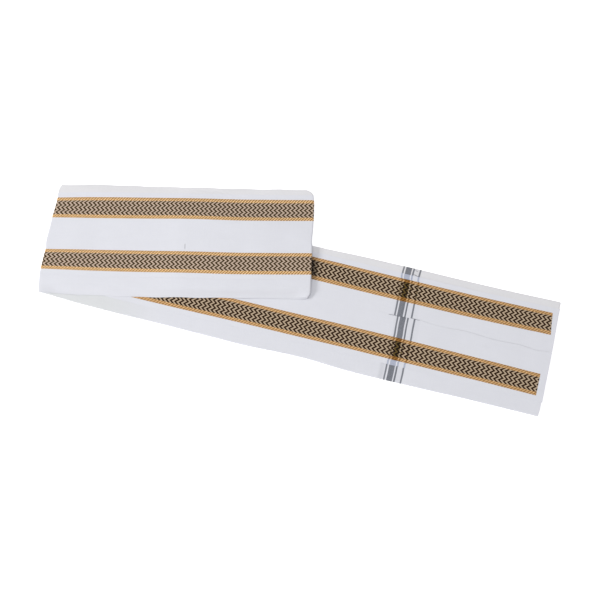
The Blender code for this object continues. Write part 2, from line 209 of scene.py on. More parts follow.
# Where the lines of a face lie across the band, at distances along each stretch
FACE_LINES = "along near_edge near_outer near_inner centre far_inner far_outer far_edge"
LOWER_FACE = Table(
    FACE_LINES,
    (0, -59.6, -41.4, -17.0, 7.0, 24.7, 49.2, 63.0),
    (60, -61.8, -41.4, -16.9, 7.0, 24.7, 49.2, 62.4),
    (150, -62.1, -41.3, -16.8, 7.1, 24.7, 49.3, 62.0),
    (235, -62.9, -40.5, -16.6, 7.2, 24.7, 49.5, 61.6),
    (300, -61.1, -40.4, -16.4, 7.4, 24.7, 49.7, 62.3),
    (345, -63.3, -40.2, -16.1, 7.5, 24.4, 49.5, 63.2),
    (410, -63.4, -40.7, -16.3, 7.5, 24.2, 49.1, 63.4),
    (485, -62.6, -40.9, -17.1, 7.3, 24.6, 49.3, 63.2),
    (559, -62.7, -41.7, -18.1, 7.1, 26.1, 50.4, 64.3),
)
UPPER_FACE = Table(
    FACE_LINES,
    (0, -60.8, -35.3, -12.9, 1.0, 23.5, 46.8, 62.2),
    (45, -62.4, -36.1, -12.6, 1.0, 23.8, 48.3, 64.0),
    (100, -63.5, -36.7, -12.5, 1.0, 24.3, 49.0, 63.6),
    (150, -63.0, -36.9, -12.7, 1.0, 24.5, 49.3, 63.1),
    (210, -62.3, -37.4, -13.1, 1.0, 23.9, 49.4, 62.5),
    (291, -60.4, -35.8, -11.7, 1.0, 26.1, 50.6, 63.2),
)

# The outermost line of the left fold, as each stretch measures it, then of the right fold and the cut end
LEFT_FOLD = Table(
    "across on_lower on_upper",
    (-62, 9.9, -2.9), (-57, 8.5, -4.1), (-48, 6.2, -4.6), (-40, 4.5, -4.4), (-33, 4.2, -3.3),
    (-20, 2.8, -1.4), (-13, 2.3, -0.3), (-6, 0.6, -0.7), (0, -0.3, -0.3), (15, -1.3, 2.1), (22, -2.0, 3.0),
    (29, -1.9, 4.4), (44, -2.6, 6.9), (51, -4.0, 6.8), (57, -4.7, 7.4), (63, -3.6, 10.3),
)
RIGHT_FOLD = Table(
    "across along",
    (-63, 284.6), (-60, 287.9), (-55, 290.2), (-30, 290.4), (-8, 290.8), (5, 290.5), (16, 291.2), (32, 291.8),
    (55, 291.3), (60, 288.8), (63, 283.6),
)
CUT_END = Table(
    "across along", (-62, 556.8), (-52, 557.8), (-32, 558.2), (-5, 558.8), (22, 559.1), (40, 559.0),
    (64, 559.4),
)

# Soft ridges and troughs that the cloth keeps from earlier folds, lying mostly across the band
LOWER_CREASES = tuple(Crease(*row) for row in (
    (74, -34, 96, 60, 17, 0.21),
    (128, -50, 84, 44, 13, -0.15),
    (196, -44, 92, 52, 21, 0.19),
    (262, -22, 99, 76, 15, -0.19),
    (318, 6, 88, 120, 12, 0.14),
    (352, 12, 93, 96, 9, -0.17),
    (421, -6, 97, 118, 16, 0.2),
    (463, 30, 86, 70, 12, -0.15),
    (498, -30, 91, 84, 19, 0.17),
    (533, 8, 94, 110, 10, -0.14),
    (470, 7.4, 0, 150, 5, -0.06),
))
UPPER_CREASES = tuple(Crease(*row) for row in (
    (31, 12, 82, 104, 11, 0.16),
    (58, -20, 95, 88, 9, -0.12),
    (93, 18, 90, 116, 16, 0.18),
    (121, -14, 86, 90, 8, -0.1),
    (146, 4, 90, 118, 9, 0.13),
    (161, 4, 90, 118, 6, -0.1),
    (214, 8, 94, 100, 7, -0.16),
    (239, -12, 87, 92, 13, 0.13),
    (262, 14, 92, 104, 8, -0.12),
))

# How far apart the two leaves of a face lie at their centre line, where they meet on the lower stretch, and
# how far the far selvedge stands off the ply below it
LOWER_GAP = Table(
    "along gap", (0, 0.01), (345, 0.01), (376, 0.05), (386, 0.12), (402, 0.05), (418, 0.12), (436, 0.09),
    (470, 0.21), (505, 0.17), (540, 0.21), (559, 0.08),
)
UPPER_GAP = Table("along gap", (0, 0.012), (120, 0.008), (220, 0.02), (291, 0.012))
LOWER_CENTRE = Table(
    "along centre", (0, 7.0), (300, 7.4), (382, 7.4), (399, 7.5), (415, 8.5), (427, 7.2), (446, 7.0),
    (460, 8.1), (473, 7.9), (485, 7.2), (497, 6.5), (510, 6.9), (525, 7.6), (543, 6.1), (554, 7.6),
)
FAR_SELVEDGE = Table(
    "along lift", (0, 0.02), (385, 0.04), (405, 0.14), (425, 0.32), (440, 0.36), (453, 0.26), (468, 0.2),
    (482, 0.05), (559, 0.03),
)


def lift(creases: Sequence[Crease], along: Array, across: Array) -> Array:
    """How much the creases of a stretch raise or lower its face.

    Args:
        creases: The stretch's ridges and troughs.
        along: Distances along it.
        across: Distances across it.

    Returns:
        The change in height at each place.
    """
    raised = np.zeros(len(across))
    for crease in creases:
        run, off = (
            (along - crease.along) * way[0] + (across - crease.across) * way[1]
            for way in heading(crease.bearing)
        )
        held = smooth(1.5 - np.abs(run) / (crease.length / 2))
        raised = raised + crease.height * held * np.exp(-((off / crease.width) ** 2))
    return raised


class FoldedBand:
    """The map from a place on the folded band to a point in space."""

    def __init__(self, sizes: BandSizes) -> None:
        """Works out the directions of the two stretches and the length of each run.

        Args:
            sizes: The band's sizes.
        """
        self.sizes = sizes
        self.fold = np.array([sizes.fold_x, sizes.fold_y])
        self.ways = {Run.LOWER: heading(sizes.lower_bearing), Run.UPPER: heading(sizes.upper_bearing)}
        self.outward = -heading((sizes.lower_bearing + sizes.upper_bearing) / 2)[0]
        radius, self.turn = sizes.fold_radius, self.bent_line()
        self.ends = {
            Run.LOWER: ((LEFT_FOLD, "on_lower", radius), (CUT_END, "along", 0.0)),
            Run.UPPER: ((LEFT_FOLD, "on_upper", radius), (RIGHT_FOLD, "along", -radius)),
        }
        lower, upper = (float(self.length(run, 1, 0) - self.length(run, 0, 0)) for run in self.ways)
        turn = float(self.turn[2][-1]) * radius
        self.spans = dict(zip(Run, (lower, turn, upper, turn, upper - sizes.tuck_edge)))

    def length(self, run: Run, at: float, across: Reals) -> Array:
        """Distance from the left fold to a share of a stretch, from that fold's axis to its other end."""
        start, end = (table.read(name, across) + shift for table, name, shift in self.ends[run])
        return start + (end - start) * at

    def plan(self, run: Run, along: Array, across: Array) -> Array:
        """Where points of a stretch lie in plan, one row each, by their distances along and across it."""
        ahead, aside = self.ways[run]
        return self.fold + np.outer(along, ahead) + np.outer(across, aside)

    def bed(self, plan: Array) -> Array:
        """Height of what the upper stretch lies on: the lower one, and beside that the table."""
        along, across = ((plan - self.fold) @ way for way in self.ways[Run.LOWER])
        return self.sizes.stack * (
            1 - smooth((across - LOWER_FACE.read("far_edge", along)) / self.sizes.sink)
        )

    def thickness(self, at: float) -> float:
        """Thickness of the upper stretch with what is tucked under it."""
        climb = (self.length(Run.UPPER, at, 0) - self.sizes.climb_centre) / self.sizes.climb + 0.5
        return float(self.sizes.band + self.sizes.stack * smooth(climb))

    def bent_line(self) -> tuple[Array, ...]:
        """The line of a pressed fold of radius 1, a half circle that is squared off.

        Returns:
            How far out and up it is at many places, and how far along it each of them lies.
        """
        power = 2 / self.sizes.squareness
        turned = np.linspace(0.0, math.pi, self.sizes.turn_points)
        out = np.abs(np.sin(turned)) ** power
        up = np.copysign(np.abs(np.cos(turned)) ** power, np.cos(turned))
        return out, up, np.concatenate([[0.0], np.cumsum(np.hypot(np.diff(out), np.diff(up)))])

    def bend(self, at: float) -> tuple[float, ...]:
        """How far out and up a fold is, part of the way round it, in shares of its radius."""
        *lines, lengths = self.turn
        return tuple(float(np.interp(at * lengths[-1], lengths, line)) for line in lines)

    def settled(self, raised: Array, along: Array, across: Array) -> Pair:
        """Lays the upper stretch down, pressed flatter along its near edge and at its near right corner.

        Args:
            raised: Heights above what it lies on.
            along: Distances along it.
            across: Distances across it.

        Returns:
            The points' places in plan and their heights.
        """
        sizes = self.sizes
        inside = across - UPPER_FACE.read("near_edge", along)
        by_fold = smooth((RIGHT_FOLD.read("along", across) - along) / sizes.calm)
        share = sizes.roll_at_fold + (1 - sizes.roll_at_fold) * by_fold
        rolled = share * smooth(along / sizes.calm) * smooth(1 - inside / sizes.roll_width)
        corner = smooth((along - sizes.sag_start) / sizes.sag_run)
        corner = corner * smooth(-across / sizes.sag_width - sizes.sag_inset)
        pressed = (1 - sizes.sag * corner) * (1 - sizes.roll * rolled)
        plan = self.plan(Run.UPPER, along, across)
        return plan, raised * pressed + (self.bed(plan) - sizes.settle * rolled)

    def point(self, station: Station, across: Array, depth: Array, stagger: Reals = 0.0) -> Array:
        """The points of the band at one station.

        Args:
            station: The place along the band.
            across: Distances across it.
            depth: Distances below its outer face.
            stagger: How much further along the lower stretch each point lies near the cut end.

        Returns:
            The points in metres, one row each.
        """
        sizes, run, at = self.sizes, station.run, station.at
        radius, span = sizes.fold_radius, self.spans[run]
        if run is Run.LOWER:
            along = self.length(run, at, across)
            near_end, calm = smooth(1 - (1 - at) * span / sizes.calm), smooth(at * span / sizes.calm)
            plan = self.plan(run, along + stagger * near_end, across)
            height = depth * (1 + calm * lift(LOWER_CREASES, along, across) / sizes.band)
        elif run is Run.LEFT:
            out, up = self.bend(at)
            start, end = (self.plan(side, self.length(side, 0, across), across) for side in self.ways)
            plan = start + (end - start) * at + np.outer((radius - depth) * out, self.outward)
            height = radius - (radius - depth) * up
        elif run is Run.UPPER:
            along, thick = self.length(run, at, across), self.thickness(at)
            calm = smooth(min(at, 1 - at) * span / sizes.calm)
            raised = (thick - depth) * (1 + calm * lift(UPPER_CREASES, along, across) / thick)
            plan, height = self.settled(raised, along, across)
        elif run is Run.RIGHT:
            out, up = self.bend(at)
            axis, height = self.settled(
                radius + (radius - depth) * up, self.length(Run.UPPER, 1, across), across
            )
            plan = axis + np.outer((radius - depth) * out, self.ways[Run.UPPER][0])
        else:
            plan, height = self.settled(depth, self.length(Run.UPPER, 1, across) - at * span, across)
        return np.column_stack([plan, height]) * MM

    def travelled(self, station: Station) -> float:
        """Distance along the cloth from where the left fold starts, negative on the lower stretch."""
        reached, passed = station.at * self.spans[station.run], list(self.spans.values())[1:station.run.value]
        return -reached if station.run is Run.LOWER else sum(passed) + reached

    def line(self, face: Face, station: Station, name: str) -> float:
        """Where a named line of a face lies across the band at a station.

        Args:
            face: The face that the line is on. The outer one goes on unchanged round the folds.
            station: The place along the band.
            name: The line's column in the tables.

        Returns:
            Its distance across.
        """
        run = station.run
        if run is Run.LOWER and face is Face.INNER:
            table = LOWER_CENTRE if name == "centre" else LOWER_FACE
            return float(table.read(name, self.length(run, station.at, 0)))
        at = {Run.UPPER: station.at, Run.RIGHT: 1, Run.TUCK: 1}.get(run, 0)
        on_upper = float(UPPER_FACE.read(name, self.length(Run.UPPER, at, 0)))
        if face is Face.OUTER or run is not Run.LEFT:
            return on_upper
        on_lower = float(LOWER_FACE.read(name, self.length(Run.LOWER, 0, 0)))
        return on_lower + (on_upper - on_lower) * station.at

    def stations(self, run: Run, first: float, last: float, step: float) -> list[Station]:
        """Even stations of one run, between two distances from its start and at most a step apart."""
        count = max(2, math.ceil(abs(last - first) / step) + 1)
        return [Station(run, float(at)) for at in np.linspace(first, last, count) / self.spans[run]]

    def whole_way(
        self, first: tuple[float, ...], step: float, turn_step: float, last: tuple[float, ...]
    ) -> list[Station]:
        """The stations of a sheet that goes round both folds.

        Args:
            first: Where its part on the lower stretch starts and ends, and its step.
            step: The step on the upper stretch.
            turn_step: The step round both folds.
            last: Where its tucked part starts and ends, and its step.

        Returns:
            The stations, in order.
        """
        path, clear = self.stations(Run.LOWER, *first), self.sizes.stretch_clear
        path += self.stations(Run.LEFT, 0.0, self.spans[Run.LEFT], turn_step)
        path += self.stations(Run.UPPER, clear, self.spans[Run.UPPER] - clear, step)
        path += self.stations(Run.RIGHT, 0.0, self.spans[Run.RIGHT], turn_step)
        return path + self.stations(Run.TUCK, *last)


def new_piece(name: str, points: Sequence, faces: Sequence, material: Material) -> Piece:
    """Makes an object, the only one selected.

    Args:
        name: Its name.
        points: Its points in metres.
        faces: Its faces, each the numbers of its points.
        material: Its material.

    Returns:
        The object.
    """
    mesh = bpy.data.meshes.new(name)
    mesh.from_pydata(points, [], faces)
    mesh.materials.append(material)
    piece = bpy.data.objects.new(name, mesh)
    bpy.context.scene.collection.objects.link(piece)
    bpy.ops.object.select_all(action="DESELECT")
    piece.select_set(True)
    bpy.context.view_layer.objects.active = piece
    return piece


def math_node(operation: str, swapped: bool = False) -> Callable[["Signal", "Value"], "Signal"]:
    """A method of Signal that makes a Math node.

    Args:
        operation: What the node does.
        swapped: Whether the other value comes first.

    Returns:
        The method.
    """

    def method(self: "Signal", other: "Value" = 0.0) -> "Signal":
        """The node's result."""
        values = {0: other, 1: self} if swapped else {0: self, 1: other}
        return Signal(self.graph, self.graph.node("ShaderNodeMath", values, operation=operation))

    return method


class Signal:
    """A value in a material's nodes, worked on with Python's own operators."""

    __add__ = __radd__ = math_node("ADD")
    __mul__ = __rmul__ = math_node("MULTIPLY")
    __sub__, __rsub__ = math_node("SUBTRACT"), math_node("SUBTRACT", swapped=True)
    __truediv__, larger = math_node("DIVIDE"), math_node("MAXIMUM")
    size, sine, swing = math_node("ABSOLUTE"), math_node("SINE"), math_node("PINGPONG")

    def __init__(self, graph: "Graph", socket: Socket) -> None:
        """Wraps an output socket of a graph."""
        self.graph, self.socket = graph, socket

    def rise(self, low: float, high: float) -> "Signal":
        """A soft step from 0 at low to 1 at high, or down again if low is the greater."""
        values, way = {"Value": self, "From Min": low, "From Max": high}, "SMOOTHSTEP"
        return Signal(self.graph, self.graph.node("ShaderNodeMapRange", values, interpolation_type=way))

    def inside(self, low: float, high: float, soft: float) -> "Signal":
        """1 between two values and 0 outside them, with edges as wide as soft says."""
        half = soft / 2
        return self.rise(low - half, low + half) * self.rise(high + half, high - half)


Value = Union[Signal, float]
Hue = Union[Colour, Socket]


class Graph:
    """The nodes of one material."""

    def __init__(self, name: str) -> None:
        """Makes a material with a Principled shader.

        Args:
            name: The material's name.
        """
        self.material = bpy.data.materials.new(name)
        self.material.use_nodes = True
        self.tree = self.material.node_tree

    def feed(self, node: bpy.types.Node, values: dict) -> None:
        """Links values into a node's sockets, or sets them there if they are plain numbers or colours.

        Args:
            node: The node.
            values: The values, by the name or the place of their sockets.
        """
        for place, value in values.items():
            value = value.socket if isinstance(value, Signal) else value
            if isinstance(value, Socket):
                self.tree.links.new(value, node.inputs[place])
            else:
                node.inputs[place].default_value = (*value, 1.0) if isinstance(value, tuple) else value

    def node(self, kind: str, values: dict, result: int = 0, **settings: str) -> Socket:
        """Adds a node.

        Args:
            kind: Its type.
            values: What its sockets take, by their name or place.
            result: The place of the output that is wanted.
            settings: Its own settings, which are set first.

        Returns:
            That output.
        """
        made = self.tree.nodes.new(kind)
        for name, setting in settings.items():
            setattr(made, name, setting)
        self.feed(made, values)
        return made.outputs[result]

    def finish(self, values: dict[str, object]) -> Material:
        """Feeds the shader's own sockets and gives back the material."""
        self.feed(self.tree.nodes["Principled BSDF"], values)
        return self.material

    def mix(self, share: Value, first: Hue, second: Hue, blend_type: str = "MIX") -> Socket:
        """Two colours blended, the second one by its share, or multiplied."""
        values = {0: share, 6: first, 7: second}
        return self.node("ShaderNodeMix", values, 2, data_type="RGBA", blend_type=blend_type)

    def tint(self, colour: Hue, grey: Value) -> Socket:
        """A colour made darker or lighter by a varying factor."""
        factor = self.node("ShaderNodeCombineColor", {0: grey, 1: grey, 2: grey})
        return self.mix(1.0, colour, factor, "MULTIPLY")

    def cloth_places(self) -> tuple[Signal, Signal]:
        """The distances along and across the cloth, in mm, from the piece's UV map."""
        split = self.node("ShaderNodeSeparateXYZ", {0: self.node("ShaderNodeUVMap", {}, uv_map="cloth")})
        return tuple(Signal(self, output) / MM for output in split.node.outputs[:2])

    def clouds(self, place: Sequence[Signal], along: float, across: float, detail: float = 1.0) -> Signal:
        """Uneven soft patches, from 0 to 1 and about 0.5.

        Args:
            place: The distances along and across the cloth.
            along: The patches' usual length along it, in mm.
            across: Their usual length across it, in mm.
            detail: How many finer layers they have.

        Returns:
            The patches.
        """
        spot = self.node("ShaderNodeCombineXYZ", {0: place[0] / along, 1: place[1] / across})
        values = {"Vector": spot, "Scale": 1.0, "Detail": detail}
        return Signal(self, self.node("ShaderNodeTexNoise", values, noise_dimensions="2D"))

    def relief(self, height: Signal, distance: float) -> Socket:
        """A relief whose height, from 0 to 1, stands for a distance in mm."""
        return self.node("ShaderNodeBump", {"Height": height, "Distance": distance * MM})

    def weave(self, place: Sequence[Signal], pitch: float) -> tuple[Signal, Signal]:
        """A plain weave of round threads.

        Args:
            place: The distances along and across the cloth.
            pitch: Distance from one thread to the next in mm.

        Returns:
            The weave's height from 0 to 1, and where a crosswise thread is on top.
        """
        turn = math.pi / pitch
        down, over = ((distance * turn).sine() for distance in place)
        crossing = (down * over).rise(-0.5, 0.5)
        return (down.size() * crossing).larger(over.size() * (1 - crossing)), crossing


@dataclass(frozen=True)
class Bar:
    """A grey bar across the cloth: where it starts and ends past the first one, and its strength."""

    start: float
    end: float
    strength: float


BARS = (Bar(-1.05, 0.7, 0.95), Bar(2.3, 8.6, 0.97), Bar(10.0, 11.75, 1.0), Bar(17.1, 18.9, 0.96))
THIN_BAR = 2.0


def stripes(along: Signal, thin: float = 1.0) -> Signal:
    """The grey bars woven across the cloth near its cut end.

    Args:
        along: Distance along the cloth from the first bar, in mm.
        thin: How strong the thin bars are beside the wide one.

    Returns:
        How much grey thread shows, from 0 to 1.
    """
    total: Value = 0.0
    for bar in BARS:
        strength = bar.strength * (thin if bar.end - bar.start < THIN_BAR else 1.0)
        total = along.inside(bar.start, bar.end, 0.5) * strength + total
    return total


@dataclass(frozen=True)
class CottonFinish:
    """Thin white cotton in plain weave, with grey bars near the cut end."""

    name: str
    white: Colour = (0.742, 0.748, 0.8)
    far_white: Optional[Colour] = None
    # Beside the left fold the plies are a darker, warmer white: partly the cloth's tone, partly painted shade
    fold_tone_and_shade: Colour = (0.707, 0.72, 0.734)
    grey: Colour = (0.119, 0.129, 0.156)
    has_selvedge: bool = False
    selvedge_fade: float = 0.2
    selvedge_blue: Colour = (0.3, 0.34, 0.47)
    haze: Bar = Bar(-3.0, 24.0, 0.05)
    between_bars: Bar = Bar(9.0, 18.9, 0.075)
    # Painted shade of a crease: where a short grey line lies on the cloth, and how dark it is
    painted_crease_at: tuple[float, float] = (0.0, 0.0)
    painted_crease_depth: float = 0.0
    thread: float = 0.42
    depth: float = 0.05
    roughness: float = 0.86
    sheen: float = 0.12
    specular: float = 0.25

    def make(self) -> Material:
        """Builds the material.

        Returns:
            The material.
        """
        graph = Graph(self.name)
        along, across = place = graph.cloth_places()
        height, crossing = graph.weave(place, self.thread)
        slub_along = graph.clouds(place, 26.0, 0.55)
        slub_across = graph.clouds(place, 0.55, 22.0)
        patches = graph.clouds(place, 34.0, 21.0, 2.0)
        # Random tone from slubs and patches, and painted shade: darker in the weave's hollows, lighter on its
        # crowns
        tone_and_weave_shade = 0.955 + 0.03 * slub_along + 0.03 * slub_across + 0.035 * patches + 0.02 * (height - 0.5)
        showing = stripes(along + 0.5 * (slub_across - 0.5)) * (0.9 + 0.2 * (crossing - 0.5))
        haze = along.inside(self.haze.start, self.haze.end, 3.0) * self.haze.strength
        dye: Hue = self.grey
        if self.has_selvedge:
            in_selvedge = across.rise(-0.2, 0.6)
            showing = showing * (1 - self.selvedge_fade * in_selvedge)
            dye = graph.mix(in_selvedge, self.grey, self.selvedge_blue)
        white: Hue = self.white
        if self.far_white:
            white = graph.mix(across.rise(-20.0, 20.0), self.white, self.far_white)
            # On the lower stretch beside the left fold: partly the cloth's tone, partly painted shade under
            # the upper stretch's near edge
            by_fold = along.rise(-240.0, -330.0) * along.rise(-398.0, -386.0)
            white = graph.mix(by_fold, white, self.fold_tone_and_shade)
            between = self.between_bars
            haze = haze * across.rise(-20.0, -40.0)
            haze = haze + along.inside(between.start, between.end, 2.0) * between.strength
        cloth = graph.tint(white, tone_and_weave_shade)
        # Painted shade: a short grey line across the cloth where a crease ends
        if self.painted_crease_depth:
            painted_crease = (along - self.painted_crease_at[0]).inside(-0.4, 0.4, 0.5)
            painted_crease = painted_crease * (across - self.painted_crease_at[1]).inside(-3.0, 3.0, 1.8)
            cloth = graph.tint(cloth, 1 - self.painted_crease_depth * painted_crease)
        dyed = graph.tint(dye, 0.5 + 0.5 * slub_across + 0.5 * graph.clouds(place, 2.2, 1.6))
        return graph.finish({
            "Base Color": graph.mix(showing.larger(haze), cloth, dyed),
            "Roughness": self.roughness,
            "Sheen Weight": self.sheen,
            "Specular IOR Level": self.specular,
            "Normal": graph.relief(height + 0.6 * (slub_along + slub_across), self.depth),
        })


@dataclass(frozen=True)
class ZariFinish:
    """A woven border: a brown and beige zigzag between two lines of gold twill."""

    name: str
    width: float = 24.4
    gold_width: float = 3.8
    sway: float = 1.35
    bias: float = 0.05
    line_edge: float = 0.22
    pitch: float = 5.05
    segments: int = 6
    shift: float = 0.0
    twill_share: float = 0.667
    rib: float = 0.42
    dark: Colour = (0.049, 0.026, 0.007)
    beige: Colour = (0.546, 0.425, 0.328)
    deep_gold: Colour = (0.38, 0.18, 0.045)
    pale_gold: Colour = (0.87, 0.605, 0.325)
    outer_gold: float = 0.88
    grain: float = 1.1
    crossing: Colour = (0.235, 0.195, 0.065)
    crossing_gold: Colour = (0.48, 0.36, 0.15)
    thin_bars: float = 0.75
    # Painted shade beside the right fold: where the fold's edge lies on the border, how far the shade
    # reaches, its slant and how dark it is
    painted_shade_at: Optional[float] = None
    painted_shade_reach: float = 8.0
    painted_shade_skew: float = 0.222
    painted_shade_depth: float = 0.85
    metallic: float = 0.25
    specular: float = 0.15
    depth: float = 0.09

    def make(self) -> Material:
        """Builds the material. Across runs from the far side of the border to the near one.

        Returns:
            The material.
        """
        graph = Graph(self.name)
        along, across = place = graph.cloth_places()
        turn, middle = 2 * math.pi, self.width - 2 * self.gold_width
        from_gold = across - self.gold_width - self.shift
        phase = (along + from_gold.swing(middle / self.segments) * self.sway) * (turn / self.pitch)
        light_line = phase.sine().rise(self.bias - self.line_edge, self.bias + self.line_edge)
        beside = (across - self.width / 2 - self.shift).size() - middle / 2
        gold = beside.rise(-0.15, 0.15)
        outer = beside.rise(self.gold_width * 0.35, self.gold_width * 0.7)
        twill = ((along + across) * (turn / self.twill_share / self.pitch)).sine().rise(-0.9, 0.9)
        thread = graph.clouds(place, 9.0, 0.3)
        floats = graph.clouds(place, 0.34, 3.0)
        zigzag = graph.tint(graph.mix(light_line, self.dark, self.beige), 0.8 + 0.4 * floats)
        uneven = 0.3 * (thread - 0.5) + self.grain * (graph.clouds(place, 1.15, 0.9) - 0.5)
        metal = graph.mix(twill, self.deep_gold, self.pale_gold)
        metal = graph.tint(metal, 1 - (1 - self.outer_gold) * outer + uneven)
        woven = graph.mix(gold, zigzag, metal)
        # Painted shade of the right fold's edge: the weave is darkened from that edge over a short reach, the
        # zigzag more than the gold
        if self.painted_shade_at:
            painted_shade = (along - self.painted_shade_skew * across).rise(self.painted_shade_at + self.painted_shade_reach, self.painted_shade_at - 0.5)
            woven = graph.tint(woven, 1 - painted_shade * (self.painted_shade_depth - 0.4 * gold))
        dye = graph.mix(gold, self.crossing, self.crossing_gold)
        rib = (across * (turn / self.rib)).sine() * 0.12
        height = (light_line * 0.5 + floats * 0.3) * (1 - gold) + gold * (0.35 + 0.5 * twill) + rib
        return graph.finish({
            "Base Color": graph.mix(stripes(along, self.thin_bars), woven, dye, "MULTIPLY"),
            "Metallic": gold * self.metallic,
            "Roughness": 0.78 - 0.26 * gold,
            "Specular IOR Level": self.specular,
            "Normal": graph.relief(height, self.depth),
        })


@dataclass(frozen=True)
class PlainFinish:
    """A plain even surface."""

    name: str
    colour: Colour
    roughness: float = 0.9
    glow: float = 0.0
    grain: float = 0.04
    grains_per_metre: float = 900.0

    def make(self) -> Material:
        """Builds the material, with a little unevenness.

        Returns:
            The material.
        """
        graph = Graph(self.name)
        place = graph.node("ShaderNodeTexCoord", {}).node.outputs["Object"]
        values = {"Vector": place, "Scale": self.grains_per_metre, "Detail": 2.0}
        grain = Signal(graph, graph.node("ShaderNodeTexNoise", values))
        colour = graph.tint(self.colour, 0.98 + self.grain * (grain - 0.5))
        values = {"Base Color": colour, "Roughness": self.roughness}
        if self.glow:
            values |= {"Emission Color": (1.0, 1.0, 1.0), "Emission Strength": self.glow}
        return graph.finish(values)


@dataclass
class Sheet:
    """A thin sheet of the cloth, made of rows across it, which stands for one node of the solids."""

    band: FoldedBand
    face: Face
    finish: Union[CottonFinish, ZariFinish]

    def make(self, name: str, node: str, slot: str, thickness: float, path: Sequence[Station]) -> Piece:
        """Makes the sheet, closed all round, and dresses it.

        Args:
            name: The piece's name.
            node: The node that it stands for.
            slot: The material slot of the record. It is not used.
            thickness: The sheet's thickness.
            path: The stations of its rows.

        Returns:
            The piece.
        """
        rows, places = zip(*map(self.row, path))
        count = len(rows[0])
        first = (np.arange(len(rows) - 1)[:, None] * count + np.arange(count - 1)).ravel()
        faces = np.stack([first, first + count, first + count + 1, first + 1], axis=1)
        points = np.concatenate(rows)
        piece = new_piece(name, points.tolist(), faces.tolist(), self.finish.make())
        cloth = np.concatenate(places)[faces.ravel()] * MM
        piece.data.uv_layers.new(name="cloth").data.foreach_set("uv", cloth.astype(np.float32).ravel())
        wall = piece.modifiers.new("wall", "SOLIDIFY")
        wall.thickness, wall.offset = thickness * MM, 0.0
        bpy.ops.object.modifier_apply(modifier=wall.name)
        bpy.ops.object.shade_smooth_by_angle(angle=SHARP_FROM)
        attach(piece, ROOT)
        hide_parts(node)
        return piece

    def row(self, station: Station) -> Pair:
        """The points of one row in metres, and their places along and across the cloth in mm."""
        raise NotImplementedError


@dataclass
class Leaf(Sheet):
    """One of the two leaves on a face, from the centre line out to its selvedge."""

    half: Half
    stripe_at: float = -1000.0
    step: float = 3.0
    turn_step: float = 0.4
    wrap_step: float = 2.0
    clear: float = 0.8
    across_parts: int = 36
    selvedge_shift: float = 1.0
    selvedge_start: float = 0.8
    curl: float = 2.6
    wave: float = 0.12
    wave_length: float = 37.0
    ripple: float = 0.6
    ripple_share: float = 0.37

    @property
    def node(self) -> str:
        """The node that it stands for."""
        return f"{'lower' if self.face is Face.INNER else 'upper'}_{self.half.label('leaf')}"

    def path(self, step: float, short: float = 0.0, wrap_short: float = 0.0) -> list[Station]:
        """The stations that the leaf or its border passes, from its hidden end on.

        Args:
            step: The most that two of them lie apart on a stretch.
            short: How far short of the cut end they stop.
            wrap_short: How far past the leaf's hidden end they start, where it goes round the folds.

        Returns:
            The stations.
        """
        band, sizes = self.band, self.band.sizes
        if self.face is Face.INNER:
            return band.stations(Run.LOWER, sizes.inner_start, band.spans[Run.LOWER] - short, step)
        first = (sizes.wrap_under - wrap_short, self.clear, self.wrap_step)
        return band.whole_way(first, step, self.turn_step, (self.clear, sizes.wrap_under, self.wrap_step))

    def depth(self) -> float:
        """How deep the middle of the leaf lies below the band's outer face."""
        half_ply = self.band.sizes.ply / 2
        return half_ply if self.face is Face.OUTER else self.band.sizes.band - half_ply

    def cloth_along(self, station: Station, beyond: Reals) -> Array:
        """Distance along the cloth from the first grey bar.

        Args:
            station: The place along the band.
            beyond: How far each point lies past its border's outer line.

        Returns:
            The distances. The outer face has no bars, so it starts a metre past them.
        """
        travelled = self.band.travelled(station)
        if self.face is Face.OUTER:
            return np.full(len(beyond), travelled - self.stripe_at)
        axis = float(self.band.length(Run.LOWER, 0, 0))
        return axis - travelled - self.stripe_at + self.selvedge_shift * smooth(beyond / self.selvedge_start)

    def row(self, station: Station) -> Pair:
        """One row, from the centre line outwards.

        Args:
            station: The place along the band.

        Returns:
            Its points in metres, and their places on the cloth.
        """
        band, side, inner = self.band, self.half.value, self.face is Face.INNER
        gaps, along = LOWER_GAP if inner else UPPER_GAP, abs(band.travelled(station))
        turn, outer = 2 * math.pi * along, band.line(self.face, station, self.half.label("outer"))
        wander = math.sin(turn / self.wave_length + side)
        wander += self.ripple * math.sin(turn / (self.wave_length * self.ripple_share) + 2 * side)
        centre = band.line(self.face, station, "centre") + side * float(gaps.read("gap", along)) / 2
        selvedge = outer + side * band.sizes.selvedge + side * self.wave * wander
        across = np.linspace(centre, selvedge, self.across_parts + 1)
        beyond = side * (across - outer)
        depth = np.full(len(across), self.depth())
        if inner and self.half is Half.FAR:
            lifted = float(FAR_SELVEDGE.read("lift", band.length(Run.LOWER, station.at, 0)))
            depth += lifted * smooth((beyond - band.sizes.selvedge) / self.curl + 1)
        points = band.point(station, across, depth)
        return points, np.column_stack([self.cloth_along(station, beyond), beyond])

    def build(self) -> Piece:
        """Makes the leaf and dresses it."""
        path = self.path(self.step)
        return self.make(f"{self.node}_cloth", self.node, "cotton", self.band.sizes.cloth, path)


